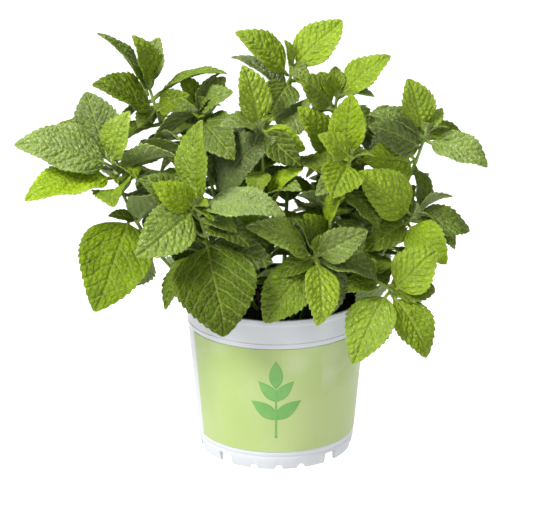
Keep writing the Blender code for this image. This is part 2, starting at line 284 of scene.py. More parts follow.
def leaf_material():
    """Quilted leaf: lightness (partly painted light and shade), veins, painted dome light and
    crease shade, and a sheen value come from the mesh; the fine net, the gloss and a painted
    silvery sheen from nodes.
    """
    tree = Nodes("mint_leaf")
    look = tree.read("leaf_look", "Color")
    gloss_and_painted_sheen = tree.read("leaf_look", "Alpha")
    vein, upper, edge = tree.new("ShaderNodeSeparateColor", {0: look}).outputs
    flat = tree.read("leaf_flat", "Vector")
    mottle = tree.noise(flat, 0.11, 3.0, 0.6)
    speck = tree.noise(flat, 0.9, 2.0, 0.6)
    # The leaf's lightness: partly its own colour and partly painted light and shade.
    shade = tree.add(tree.read("leaf_tone_and_painted_shade"), tree.span(mottle, 0.3, 0.7, -0.11, 0.11))
    shade = tree.add(shade, tree.span(speck, 0.3, 0.7, -0.03, 0.03))
    # Painted shading: the quilting's creases darker and its domes lighter, as light would fall on
    # them.
    shade = tree.add(shade, tree.span(tree.read("leaf_painted_dome_shading"), 0.0, 1.0, -0.22, 0.13))
    face = tree.ramp(shade, [(0.0, (0.018, 0.038, 0.001)), (0.3, (0.058, 0.106, 0.002)),
                             (0.6, (0.158, 0.256, 0.004)), (1.0, (0.360, 0.530, 0.012))])
    # Painted sheen: a silvery colour mixed into the base colour where the sheen value is high,
    # standing in for reflected light.
    face = tree.mix(tree.span(gloss_and_painted_sheen, 0.35, 1.0, 0.0, 0.18), face, (0.42, 0.50, 0.32, 1.0))
    paler = tree.mix(0.52, face, (0.55, 0.66, 0.11, 1.0))
    face = tree.mix(tree.times(vein, 0.74), face, paler)
    back = tree.ramp(shade, [(0.0, (0.12, 0.17, 0.05)), (1.0, (0.34, 0.44, 0.14))])
    back = tree.mix(tree.times(vein, 0.6), back, (0.42, 0.52, 0.20, 1.0))
    colour = tree.mix(upper, back, face)
    colour = tree.mix(tree.times(edge, 0.25), colour, (0.32, 0.42, 0.06, 1.0))
    net = tree.new("ShaderNodeTexVoronoi", {"Vector": flat, "Scale": 0.62, "Randomness": 0.9},
                   feature="DISTANCE_TO_EDGE")
    cell = tree.span(net.outputs["Distance"], 0.0, 0.35)
    grain = tree.noise(flat, 2.4, 2.0, 0.6)
    height = tree.add(cell, tree.times(grain, 0.35))
    bump = tree.bump(height, 0.8, 0.00035)
    rough = tree.span(grain, 0.3, 0.7, 0.22, 0.36)
    tree.set(Base_Color=colour, Roughness=rough, Normal=bump, IOR=1.45)
    tree.set(Specular_IOR_Level=tree.span(gloss_and_painted_sheen, 0.0, 1.0, 0.14, 0.62))
    glow = tree.mix(0.50, colour, (0.46, 0.62, 0.02, 1.0))
    through = tree.new("ShaderNodeBsdfTranslucent", {"Color": glow, "Normal": bump})
    blend = tree.new("ShaderNodeMixShader", {0: 0.24, 1: tree.shader.outputs[0],
                                             2: through.outputs[0]})
    tree.feed(tree.output.inputs[0], blend.outputs[0])
    return tree.material


def stem_material():
    """Green stem, blotched lighter and darker, with fine lengthwise lines."""
    tree = Nodes("mint_stem")
    place = tree.place()
    blotch = tree.noise(place, 55.0, 3.0, 0.6)
    lines = tree.new("ShaderNodeMapping", {"Vector": place, "Scale": (1.0, 1.0, 0.08)})
    line = tree.noise(lines.outputs[0], 2600.0, 2.0, 0.5)
    colour = tree.ramp(blotch, [(0.30, (0.105, 0.200, 0.020)), (0.55, (0.190, 0.330, 0.040)),
                                (0.75, (0.260, 0.400, 0.070))])
    tree.set(Base_Color=colour, Roughness=tree.span(line, 0.3, 0.7, 0.38, 0.55),
             Normal=tree.bump(line, 0.4, 0.0002))
    return tree.material


def white_material():
    """Moulded white plastic with a faint orange-peel surface."""
    tree = Nodes("pot_white")
    place = tree.place()
    peel = tree.noise(place, 900.0, 2.0, 0.5)
    cloud = tree.noise(place, 25.0, 2.0, 0.5)
    colour = tree.ramp(cloud, [(0.3, (0.49, 0.505, 0.53)), (0.7, (0.52, 0.535, 0.56))])
    tree.set(Base_Color=colour, Roughness=tree.span(cloud, 0.3, 0.7, 0.30, 0.40),
             Normal=tree.bump(peel, 0.12, 0.0001))
    return tree.material


def black_material():
    """The glossy black inner skin, dusted with peat."""
    tree = Nodes("pot_black")
    place = tree.place()
    dust = tree.noise(place, 180.0, 4.0, 0.7)
    colour = tree.ramp(dust, [(0.45, (0.010, 0.010, 0.011)), (0.8, (0.040, 0.032, 0.026))])
    tree.set(Base_Color=colour, Roughness=tree.span(dust, 0.4, 0.7, 0.22, 0.60),
             Normal=tree.bump(dust, 0.2, 0.0002))
    return tree.material


def mix_material():
    """Damp peat: dark brown crumbs with lighter fibres."""
    tree = Nodes("potting_mix_peat")
    place = tree.place()
    crumb = tree.noise(place, 420.0, 5.0, 0.7)
    patch = tree.noise(place, 60.0, 3.0, 0.6)
    colour = tree.ramp(crumb, [(0.32, (0.006, 0.004, 0.003)), (0.55, (0.028, 0.017, 0.010)),
                               (0.72, (0.075, 0.045, 0.026))])
    colour = tree.mix(tree.span(patch, 0.35, 0.65, 0.0, 0.5), colour, (0.016, 0.010, 0.007, 1.0))
    tree.set(Base_Color=colour, Roughness=0.92, Normal=tree.bump(crumb, 0.9, 0.0012))
    return tree.material


def label_material():
    """Printed film: soft green, paler drifting leaf shapes towards the top."""
    tree = Nodes("label_print")
    place = tree.place()
    axes = tree.new("ShaderNodeSeparateXYZ", {0: place})
    height = tree.span(axes.outputs[2], LABEL_LOW[2], LABEL_HIGH[2])
    cloud = tree.noise(place, 14.0, 2.0, 0.5)
    base = tree.ramp(cloud, [(0.35, (0.300, 0.400, 0.120)), (0.52, (0.335, 0.425, 0.148)),
                             (0.68, (0.370, 0.448, 0.182))])
    flakes = tree.new("ShaderNodeTexVoronoi", {"Vector": place, "Scale": 62.0, "Randomness": 1.0})
    shape = tree.span(flakes.outputs["Distance"], 0.0, 0.75)
    tint = tree.new("ShaderNodeSeparateColor", {0: flakes.outputs["Color"]}).outputs[0]
    veil = tree.times(tree.span(tint, 0.45, 0.60), tree.span(height, 0.35, 0.75, 0.0, 0.42))
    veil = tree.times(veil, tree.span(shape, 0.2, 0.9, 1.0, 0.2))
    colour = tree.mix(veil, base, (0.49, 0.55, 0.38, 1.0))
    fibre = tree.noise(place, 1500.0, 2.0, 0.5)
    tree.set(Base_Color=colour, Roughness=tree.span(fibre, 0.3, 0.7, 0.34, 0.42),
             Normal=tree.bump(fibre, 0.05, 0.00005))
    return tree.material


def ink_material():
    """Darker green ink of the generic sprig printed on the label."""
    tree = Nodes("label_ink")
    place = tree.place()
    cloud = tree.noise(place, 60.0, 2.0, 0.5)
    colour = tree.ramp(cloud, [(0.35, (0.110, 0.300, 0.062)), (0.65, (0.150, 0.350, 0.085))])
    tree.set(Base_Color=colour, Roughness=tree.span(cloud, 0.3, 0.7, 0.34, 0.42))
    return tree.material


LEAF = leaf_material()
STEM = stem_material()

# -------------------- stems
class Stem:
    """The bow of one CAD stem, as a smooth curve from its foot to its tip."""

    def __init__(self, node):
        points = corners_of(node)
        middle = points.mean(axis=0)
        chord = np.linalg.svd(points - middle, full_matrices=False)[2][0]
        if chord[2] < 0.0:
            chord = -chord
        along = (points - middle) @ chord
        share = (along - along.min()) / (along.max() - along.min())
        self.fit = np.linalg.lstsq(np.vander(share, 4), points, rcond=None)[0]

    def at(self, share):
        """A point on the bow; share is 0 at the foot and 1 at the tip."""
        return np.vander(np.atleast_1d(share), 4) @ self.fit

    def point(self, share):
        """One point on the bow."""
        return self.at(share)[0]

    def direction(self, share):
        """The bow's direction."""
        return unit(self.point(share + 0.01) - self.point(share - 0.01))

    def cross(self, share):
        """The bow's direction and two directions across it."""
        axis = self.direction(share)
        first = unit(np.cross(axis, (0.3, 0.9, 0.1)))
        return axis, first, np.cross(axis, first)


STEMS = {node[5:]: Stem(node) for node in sorted(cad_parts) if node.startswith("stem_")}


def build_stem(name, stem):
    """A slightly square stem with swollen joints, from inside the mix to its tip."""
    sides = 20
    stations = 110
    shares = np.linspace(-0.07, 1.0, stations)
    centre = stem.at(shares)
    tangent = np.gradient(centre, axis=0)
    tangent /= np.linalg.norm(tangent, axis=1)[:, None]
    first = np.cross(tangent, (0.31, 0.95, 0.0))
    first /= np.linalg.norm(first, axis=1)[:, None]
    second = np.cross(tangent, first)
    radius = STEM_RADIUS + (STEM_TIP_RADIUS - STEM_RADIUS) * np.clip(shares, 0.0, 1.0)
    for joint in JOINTS:
        radius = radius * (1.0 + JOINT_SWELL * np.exp(-((shares - joint) / 0.012) ** 2))
    angle = np.arange(sides) / sides * 2.0 * math.pi
    square = 1.0 + 0.07 * np.cos(4.0 * angle)
    ring = first[:, None] * np.cos(angle)[:, None] + second[:, None] * np.sin(angle)[:, None]
    shell = centre[:, None] + ring * (radius[:, None] * square)[..., None]
    faces = grid_faces(stations, sides, wrap=True)
    faces.append(list(range(sides))[::-1])
    faces.append([(stations - 1) * sides + side for side in range(sides)])
    make_piece(f"grown_stem_{name}", shell.reshape(-1, 3), faces, STEM, f"stem_{name}")


for stem_name, stem_bow in STEMS.items():
    build_stem(stem_name, stem_bow)


# -------------------- leaves
def outline(share):
    """Half the blade's width as a share of its widest, from its base to its tip."""
    return np.sin(np.pi * np.clip(share, 0.0, 1.0) ** 0.74) ** 0.78


class LeafShape:
    """Where a leaf lies: its base, its axes and the height of its middle surface."""

    def __init__(self, root, base, along, normal, length, width, height):
        self.root = root
        self.base = base
        self.along = along
        self.normal = normal
        self.side = np.cross(normal, along)
        self.length = length
        self.width = width
        self.height = height

    def turn_to(self, facing):
        """Turn the leaf about its midrib until its upper side looks towards `facing`."""
        self.normal = unit(facing - self.along * (facing @ self.along))
        self.side = np.cross(self.normal, self.along)

    def face_up(self):
        """Turn the leaf over where its upper side looks down or back."""
        if self.normal @ FACING < 0.0:
            self.normal, self.side = -self.normal, -self.side

    def surface(self, run, across):
        """Points of the middle surface at `run` along and `across` the leaf."""
        high = self.height(run, across)
        return (self.base + run[..., None] * self.along + across[..., None] * self.side
                + high[..., None] * self.normal)

    def spots(self, shares, wides):
        """Points of the middle surface at these shares of the length and the width."""
        for share in shares:
            for wide in wides:
                yield self.surface(np.array(share * self.length), np.array(wide * self.width))


def bend_terms(share, across):
    """The terms that describe how a CAD leaf bends along and across."""
    return np.stack([np.ones_like(share), share, share ** 2, share ** 3, across,
                     across * share, across ** 2, across ** 2 * share], axis=-1)


def leaf_from_node(node):
    """Read a CAD leaf's place and its bend back from its solid."""
    stem = STEMS[node[5:].rsplit("_", 1)[0]]
    bow = stem.at(np.linspace(0.0, 1.0, 60))
    points = corners_of(node)
    middle = points.mean(axis=0)
    along, _, normal = np.linalg.svd(points - middle, full_matrices=False)[2]
    reach = (points - middle) @ along
    near_low, near_high = (np.linalg.norm(bow - points[end], axis=1).min()
                           for end in (np.argmin(reach), np.argmax(reach)))
    if near_high < near_low:
        along, reach = -along, -reach
    if normal @ FACING < 0.0:
        normal = -normal
    length = reach.max() - reach.min()
    base = middle + along * reach.min()
    run, across, high = ((points - base) @ axis
                         for axis in (along, np.cross(normal, along), normal))
    width = across.max() - across.min()
    fit = np.linalg.lstsq(bend_terms(run / length, across), high, rcond=None)[0]

    def height(far, wide):
        return bend_terms(far / length, np.clip(wide, -width / 2.0, width / 2.0)) @ fit

    root = bow[np.argmin(np.linalg.norm(bow - base, axis=1))]
    return LeafShape(root, base, along, normal, length, width, height)


def leaf_to(stem, share, tip, width, bow, roll):
    """A leaf on a CAD stem, from a joint of the stem to a tip point."""
    node = stem.point(share)
    axis = stem.direction(share)
    reach = tip - node
    outward = unit(reach - axis * (reach @ axis))
    base = node + outward * STEM_TIP_RADIUS
    length = np.linalg.norm(tip - base)
    along = (tip - base) / length
    turn = Matrix.Rotation(math.radians(roll), 3, Vector(along))
    side = np.array(turn @ Vector(unit(np.cross(along, UP))))

    def height(far, wide):
        part = far / length
        return bow * length * 4.0 * part * (1.0 - part) + 0.6 * wide ** 2 / width

    return LeafShape(node, base, along, np.cross(side, along), length, width, height)


def quilt(u, v, seed):
    """Distance from the nearest border of irregular cells about one unit across."""
    jitter = np.random.default_rng(seed).uniform(0.18, 0.82, (64, 64, 2))
    column, row = np.floor(u).astype(int), np.floor(v).astype(int)
    nearest = np.full(u.shape, 9.0)
    second = np.full(u.shape, 9.0)
    for right in (-1, 0, 1):
        for up in (-1, 0, 1):
            spot = jitter[(column + right) % 64, (row + up) % 64]
            away = np.hypot(column + right + spot[..., 0] - u, row + up + spot[..., 1] - v)
            second = np.minimum(second, np.maximum(nearest, away))
            nearest = np.minimum(nearest, away)
    return second - nearest


def leaf_relief(run, across, half, length, width, seed):
    """Quilting of the blade in metres, its veins from 0 to 1, and painted light on its domes
    against painted shade in its creases, from 0 to 1.
    """
    scale = 0.50 + 0.50 * min(1.0, width / (26.0 * MM))
    out = np.abs(across)
    spacing = length / (6.0 if width > 20.0 * MM else 5.0)
    warp = noise(run, across, seed + 1, 12.0 * MM) * 0.55 * MM
    forward = VEIN_ANGLE * out + 0.16 * length * (out / (width / 2.0)) ** 2
    lateral = (run - forward + warp) / spacing + np.where(across > 0.0, 0.22, 0.0)
    nearest = np.abs(lateral - np.round(lateral)) * spacing
    cell = CELL * scale
    border = quilt((run - 0.45 * out) / cell + 9.0, (across + warp) / cell, seed)
    pillow = np.clip(border / 0.55, 0.0, 1.0)
    pillow = pillow * pillow * (3.0 - 2.0 * pillow)
    crease = np.exp(-(border / 0.16) ** 2)
    main = np.exp(-(out / (0.62 * MM * (1.2 - run / length * 0.6))) ** 2)
    side_vein = np.exp(-(nearest / (0.54 * MM)) ** 2)
    valley = np.clip(nearest / (1.3 * MM), 0.0, 1.0) * np.clip(out / (1.6 * MM), 0.0, 1.0)
    rim = np.clip((half - out) / (2.2 * MM), 0.0, 1.0)
    relief = (0.72 * pillow * (0.4 + 0.6 * valley) + 0.55 * valley) * MM * scale
    relief -= (0.60 * main + 0.40 * side_vein) * MM * scale
    relief += noise(run, across, seed + 3, 6.0 * MM) * 0.10 * MM
    veins = np.clip(main + 0.9 * side_vein + 0.55 * crease, 0.0, 1.0)
    # Painted dome shading: low in the creases (painted shade), high on the domes (painted light).
    painted_dome_shading = np.clip(0.25 + 0.75 * pillow * valley, 0.0, 1.0)
    return relief * (0.30 + 0.70 * rim), veins, painted_dome_shading


def leaf_grid(shape, start, stalk_half, spacing, seed, rng):
    """A petiole and a toothed blade: run, across, relief, veins and painted dome shading at each
    point.
    """
    width = shape.width
    length = shape.length - start
    teeth = int(np.clip(shape.length / (3.6 * MM), 7, 16))
    rows = max(teeth * 6, int(shape.length / spacing))
    columns = int(np.clip(width / spacing, 12, 84)) // 2 * 2 + 1
    blade = np.linspace(0.0, 1.0, rows)
    spread = np.linspace(-1.0, 1.0, columns)
    spread = np.sign(spread) * np.abs(spread) ** 0.92
    half = np.maximum(outline(blade) * width / 2.0, stalk_half * np.exp(-blade * 14.0))[:, None]
    phase = (blade * teeth + rng.uniform(0.0, 1.0)) % 1.0
    saw = np.where(phase < 0.8, (phase / 0.8) ** 0.8, (1.0 - phase) / 0.2)
    bite = min(1.35 * MM, width * 0.060) * np.sin(np.pi * blade) ** 0.6
    tooth = np.clip((np.abs(spread) - 0.80) / 0.20, 0.0, 1.0) * (saw * bite)[:, None]
    run = start + blade[:, None] * length + tooth * 0.75
    across = half * spread + np.sign(spread) * tooth * 0.8
    blade_part = (run, across, *leaf_relief(run - start, across, half, length, width, seed))
    zero = np.zeros((STALK_ROWS, columns))
    stalk_run = np.linspace(0.0, start, STALK_ROWS, endpoint=False)[:, None] + zero
    stalk_part = (stalk_run, stalk_half * spread + zero, zero, zero + 1.0, zero + 0.6)
    return [np.vstack(pair) for pair in zip(stalk_part, blade_part)]


def leaf_middle(shape, run, across, start, rng):
    """The middle surface with its rippled margin, curled tip and bent petiole."""
    length, width = shape.length, shape.width
    share = run / length
    wave = 2.0 * np.pi * (share * rng.uniform(1.6, 2.6) + rng.uniform(0, 1))
    wave = wave + np.where(across > 0, rng.uniform(0, 6), 0.0)
    ripple = 0.035 * width * (across / (width / 2.0)) ** 2 * np.sin(wave)
    curl = -rng.uniform(0.10, 0.35) * length * np.clip(share - 0.72, 0.0, 1.0) ** 2 * 3.0
    sway = rng.uniform(-0.05, 0.05) * length * share ** 2 * np.clip((1.0 - share) * 4.0, 0, 1)
    middle = shape.surface(run, across + sway) + (ripple + curl)[..., None] * shape.normal
    # The petiole bends in to the middle of its stem.
    pull = np.clip(1.0 - run / start, 0.0, 1.0) ** 1.6
    return middle + pull[..., None] * (shape.root - shape.base)


def grow_leaf(shape, seed, tone_and_painted_shade, gloss_and_painted_sheen=0.4, spacing=0.60 * MM):
    """Corners, faces and look of one detailed leaf."""
    rng = np.random.default_rng(seed)
    width = shape.width
    stalk = PETIOLE if width > 9.0 * MM else 0.04
    start = stalk * shape.length
    stalk_half = min(0.95 * MM, width * 0.09)
    run, across, relief, veins, painted_dome_shading = leaf_grid(shape, start, stalk_half, spacing, seed, rng)
    middle = leaf_middle(shape, run, across, start, rng)
    normal = np.cross(np.gradient(middle, axis=1), np.gradient(middle, axis=0))
    normal /= np.maximum(np.linalg.norm(normal, axis=2)[..., None], 1e-12)
    faces_up = normal.mean(axis=(0, 1)) @ shape.normal >= 0.0
    if not faces_up:
        normal = -normal
    share = run / shape.length
    fade = np.clip((share - stalk) / 0.08, 0.0, 1.0)
    rib = np.exp(-(across / (0.75 * MM)) ** 2) * np.clip(1.05 - share, 0.0, 1.0) * 0.8 * MM
    rib = rib * min(1.0, width / (22.0 * MM))
    bulge = np.sqrt(1.0 - np.clip(np.abs(across) / stalk_half, 0.0, 1.0) ** 2)
    thin = 0.16 * MM + (1.0 - fade) * bulge * stalk_half * 0.8
    top = middle + (relief * fade + thin)[..., None] * normal
    low = middle + (relief * fade * 0.9 - thin - rib)[..., None] * normal
    edge = np.clip((np.abs(across / (width / 2.0)) - 0.9) / 0.1, 0.0, 1.0) * fade
    looks = [np.stack([veins, np.full_like(veins, upper), edge, np.full_like(veins, gloss_and_painted_sheen)],
                      axis=-1) for upper in (1.0, 0.0)]
    flat = np.stack([run / MM + seed * 37.0, across / MM, np.zeros_like(run)], axis=-1)
    return {
        "corners": np.concatenate([top.reshape(-1, 3), low.reshape(-1, 3)]),
        "faces": sheet_faces(*run.shape, flip=not faces_up),
        "leaf_look": np.concatenate(looks).reshape(-1, 4),
        "leaf_flat": np.concatenate([flat, flat]).reshape(-1, 3),
        "leaf_tone_and_painted_shade": np.full(2 * run.size, tone_and_painted_shade),
        "leaf_painted_dome_shading": np.tile(painted_dome_shading.ravel(), 2),
    }


def add_leaves(name, grown, node=None):
    """Make one piece of one or more grown leaves."""
    faces = []
    count = 0
    for leaf in grown:
        faces.extend([index + count for index in face] for face in leaf["faces"])
        count += len(leaf["corners"])
    corners = np.concatenate([leaf["corners"] for leaf in grown])
    piece = make_piece(name, corners, faces, LEAF, node)
    for key, kind in (("leaf_look", "FLOAT_COLOR"), ("leaf_flat", "FLOAT_VECTOR"),
                      ("leaf_tone_and_painted_shade", "FLOAT"), ("leaf_painted_dome_shading", "FLOAT")):
        add_attribute(piece.data, key, kind, np.concatenate([leaf[key] for leaf in grown]))


# How light each large leaf is, partly its own colour and partly painted light and shade,
# and how much gloss and painted silvery sheen it has, both from 0 to 1.
LOOKS = {
    "upper_left_1": (0.40, 0.4), "upper_left_2": (0.40, 0.2), "upper_left_3": (0.50, 0.3),
    "left_1": (0.35, 0.7), "left_2": (0.58, 1.0), "left_3": (0.85, 0.1), "left_4": (0.55, 0.2),
    "left_5": (0.54, 0.0), "mid_left_1": (0.50, 0.7), "mid_left_2": (0.35, 0.5),
    "mid_left_3": (0.16, 0.7), "front_left_1": (0.55, 0.4), "front_left_2": (0.50, 0.9),
    "front_left_3": (0.58, 0.7), "front_left_4": (0.25, 0.3), "front_left_5": (0.22, 0.0),
    "front_left_6": (0.28, 0.0), "centre_1": (0.78, 0.5), "top_1": (0.80, 0.4),
    "top_2": (0.66, 0.2), "top_3": (0.36, 0.4), "top_right_1": (0.72, 0.3),
    "top_right_2": (0.50, 0.4), "inner_right_1": (0.68, 0.0), "inner_right_2": (0.66, 0.2),
    "right_1": (0.66, 0.4), "right_2": (0.60, 0.9), "right_3": (0.25, 0.6),
    "right_4": (0.75, 0.1), "mid_right_1": (0.76, 0.4), "mid_right_2": (0.35, 0.5),
    "mid_right_3": (0.68, 0.1), "low_right_1": (0.74, 0.4), "low_right_2": (0.70, 0.5),
    "low_right_3": (0.62, 0.2), "front_1": (0.92, 0.5), "front_2": (0.60, 0.6),
    "front_3": (0.46, 0.3),
}

# Smaller leaves that are plain to see: the stem, how far up it they grow, where the
# tip ends (x, y, z from the pot's axis), the width, the roll in degrees, the lightness
# (partly painted light and shade).
SMALL_LEAVES = (
    ("upper_left", 1.00, (-87, 25, 260), 20, -85, 0.6),
    ("upper_left", 1.00, (-74, 45, 255), 17, 10, 0.45),
    ("upper_left", 0.89, (-55, 20, 224), 16, 65, 0.45),
    ("left", 1.00, (-134, 1, 212), 24, -20, 0.5),
    ("left", 1.00, (-153, 5, 200), 32, 5, 0.35),
    ("left", 0.99, (-89, -29, 225), 22, 75, 0.75),
    ("left", 0.66, (-84, -13, 110), 26, 85, 0.15),
    ("left", 0.71, (-102, -32, 161), 9, -35, 0.3),
    ("left", 0.65, (-71, -35, 155), 11, 65, 0.35),
    ("left", 0.94, (-57, -32, 199), 26, 5, 0.9),
    ("mid_left", 1.00, (-60, 38, 233), 14, -30, 0.6),
    ("mid_left", 1.00, (-43, 22, 221), 9, 85, 0.1),
    ("mid_left", 1.00, (-32, 38, 231), 15, 20, 0.5),
    ("mid_left", 0.98, (-78, 24, 185), 22, 40, 0.3),
    ("front_left", 1.00, (-72, -68, 191), 18, -85, 0.7),
    ("front_left", 0.69, (-2, -63, 141), 24, 20, 0.15),
    ("centre", 1.00, (-34, -18, 214), 16, -25, 0.45),
    ("centre", 0.98, (15, -20, 189), 18, 35, 0.15),
    ("centre", 0.57, (15, -17, 187), 19, 40, 0.9),
    ("top", 1.00, (21, 18, 236), 11, 55, 0.4),
    ("top", 1.00, (6, 26, 257), 10, -85, 0.75),
    ("top_right", 1.00, (27, 12, 240), 12, -85, 0.6),
    ("top_right", 1.00, (37, 30, 240), 11, 20, 0.5),
    ("top_right", 1.00, (61, 12, 225), 13, 10, 0.4),
    ("top_right", 0.74, (15, 2, 220), 22, -85, 0.8),
    ("right", 0.97, (118, 27, 197), 15, 40, 0.45),
    ("right", 1.00, (104, 21, 215), 9, 50, 0.6),
    ("right", 0.96, (58, 9, 215), 22, -15, 0.45),
    ("right", 0.82, (90, 3, 151), 19, -40, 0.3),
    ("mid_right", 0.92, (55, -26, 137), 19, -45, 0.35),
    ("mid_right", 1.00, (109, -4, 166), 14, -55, 0.4),
    ("mid_right", 0.86, (101, -22, 132), 16, -85, 0.35),
    ("low_right", 0.92, (41, -55, 121), 16, -30, 0.45),
    ("low_right", 0.89, (49, -37, 133), 16, -60, 0.4),
    ("inner_right", 0.88, (24, -39, 176), 14, -30, 0.45),
    ("inner_right", 0.66, (13, -30, 174), 15, 40, 0.4),
    ("inner_right", 0.48, (18, -31, 161), 14, -85, 0.5),
    ("inner_right", 0.55, (40, -34, 177), 16, 85, 0.75),
    ("front", 1.00, (54, -62, 160), 20, 80, 0.4),
    ("inner_right", 0.98, (26, -34, 212), 15, -75, 0.7),
    ("front", 1.00, (2, -60, 131), 14, -40, 0.3),
    ("front", 1.00, (31, -48, 98), 28, 85, 0.12),
    ("top", 0.87, (-27, 42, 245), 22, -5, 0.25),
    ("mid_right", 0.99, (114, -2, 131), 22, 45, 0.4),
    ("centre", 0.98, (18, -12, 197), 17, 35, 0.8),
    ("centre", 0.62, (14, -30, 178), 20, 20, 0.5),
    ("mid_left", 0.96, (-36, 34, 236), 16, -20, 0.3),
    ("low_right", 0.96, (98, -40, 116), 22, 30, 0.4),
)


def search_tree(points, faces):
    """A tree of faces that can be tested for touching."""
    return BVHTree.FromPolygons([Vector(point) for point in points.reshape(-1, 3)], faces)


def sheet_of(shape):
    """A coarse search tree of a leaf's middle surface."""
    run = np.linspace(0.10, 0.98, 7)[:, None] * shape.length + np.zeros((1, 3))
    spread = outline(np.linspace(0.06, 0.97, 7))[:, None] * shape.width / 2.0
    across = spread * np.array([-1.0, 0.0, 1.0])
    return search_tree(shape.surface(run, across), grid_faces(7, 3))


def stem_tree(stem):
    """A coarse search tree of a stem."""
    centre = stem.at(np.linspace(0.0, 1.0, 16))
    angle = np.arange(6) / 6.0 * 2.0 * math.pi
    ring = around(1.9 * MM, angle, 0.0)
    return search_tree(centre[:, None, :] + ring, grid_faces(16, 6, wrap=True))


def is_clear(shape, owner):
    """Whether a leaf keeps clear of the leaves so far, the other stems and the pot."""
    tree = sheet_of(shape)
    if any(tree.overlap(other) for other in SHEETS):
        return False
    if any(tree.overlap(other) for name, other in STEM_TREES.items() if name != owner):
        return False
    run = np.linspace(0.2, 1.0, 5)[:, None] * shape.length + np.zeros((1, 3))
    across = outline(np.linspace(0.15, 0.98, 5))[:, None] * shape.width * [-0.5, 0.0, 0.5]
    points = shape.surface(run, across).reshape(-1, 3)
    if (points < BOX_LOW).any() or (points > BOX_HIGH).any():
        return False
    out = np.linalg.norm((points - AXIS)[:, :2], axis=1)
    near_wall = (out > MIX_RADIUS - 6.0 * MM) & (out < LIP_RADIUS + 3.0 * MM)
    return not (near_wall & (points[:, 2] < RIM_Z + 3.0 * MM)).any()


def shows_outside(shape):
    """Whether a leaf would widen the plant's outline, seen from the front."""
    for point in shape.spots((0.6, 0.8, 1.0), (-0.3, 0.0, 0.3)):
        aside = (point[0] - AXIS[0]) / MM
        above = (point - AXIS) @ VIEW_UP / MM
        if any(left < aside < right and low < above < high for left, right, low, high in DENSE):
            continue
        start = Vector(point - VIEW)
        if all(tree.ray_cast(start, Vector(VIEW))[0] is None for tree in SHEETS):
            return True
    return False


def hides_large_leaf(shape):
    """Whether a leaf would stand in front of one of the large front leaves."""
    return any(tree.ray_cast(Vector(point), Vector(VIEW))[0] is not None
               for point in shape.spots((0.3, 0.5, 0.7, 0.9), (-0.35, 0.0, 0.35))
               for tree in LARGE_SHEETS)


# Parts of the front outline, in millimetres from the pot's axis, that the plant
# fills with leaves: left, right, low, high.
DENSE = ((-64.0, 72.0, 98.0, 206.0), (-106.0, -60.0, 145.0, 210.0), (70.0, 92.0, 94.0, 188.0))
SHEETS = []
LARGE_SHEETS = []
STEM_TREES = {name: stem_tree(stem) for name, stem in STEMS.items()}


def add_large_leaves():
    """Every CAD leaf, grown in full."""
    nodes = [node for node in sorted(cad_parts) if node.startswith("leaf_")]
    for number, node in enumerate(nodes):
        form = leaf_from_node(node)
        tone_and_painted_shade, gloss_and_painted_sheen = LOOKS.get(node[5:], (0.45 + 0.15 * math.sin(2.4 * number), 0.4))
        add_leaves(f"grown_{node}", [grow_leaf(form, number + 1, tone_and_painted_shade, gloss_and_painted_sheen)], node)
        sheet = sheet_of(form)
        SHEETS.append(sheet)
        if "back" not in node:
            LARGE_SHEETS.append(sheet)


def add_small_leaves():
    """The smaller leaves, each turned a little where that keeps it clear."""
    for number, (name, share, tip, width, roll, tone_and_painted_shade) in enumerate(SMALL_LEAVES):
        forms = [leaf_to(STEMS[name], share, AXIS + np.array(tip) * MM, width * MM, 0.08,
                         roll + turn) for turn in (0, 12, -12, 24, -24, 36, -36)]
        chosen = next((form for form in forms if is_clear(form, name)), forms[0])
        SHEETS.append(sheet_of(chosen))
        # Gloss and painted silvery sheen of each small leaf.
        gloss_and_painted_sheen = 0.35 + 0.35 * math.sin(1.7 * number)
        add_leaves(f"small_leaf_{name}_{number}",
                   [grow_leaf(chosen, number + 100, tone_and_painted_shade, gloss_and_painted_sheen)])


# The pairs of young leaves at a stem's tip: length in millimetres, rise in degrees.
CROWN_PAIRS = ((15.0, 30.0), (10.5, 52.0), (7.0, 68.0), (4.5, 78.0))


def add_crowns():
    """The young leaves folded round the tip of every stem, in crossing pairs."""
    for number, (name, stem) in enumerate(STEMS.items()):
        axis, first, second = stem.cross(0.99)
        grown = []
        for pair, (long, pitch) in enumerate(CROWN_PAIRS):
            for side in (0.0, 180.0):
                turn = math.radians(37.0 * number + 90.0 * pair + side + 4.0 * pair)
                outward = first * math.cos(turn) + second * math.sin(turn)
                rise = math.radians(pitch + 5.0 * math.sin(number + side))
                share = 0.975 + 0.008 * pair
                reach = (outward * math.cos(rise) + axis * math.sin(rise)) * long * MM
                form = leaf_to(stem, share, stem.point(share) + reach, long * 0.62 * MM, 0.12, 0.0)
                form.turn_to(axis)
                if pair > 1 or is_clear(form, name):
                    seed = 300 + number * 10 + pair * 2 + int(side > 0.0)
                    grown.append(grow_leaf(form, seed, 0.55 + 0.11 * pair, 0.2))
        if grown:
            add_leaves(f"crown_{name}", grown)


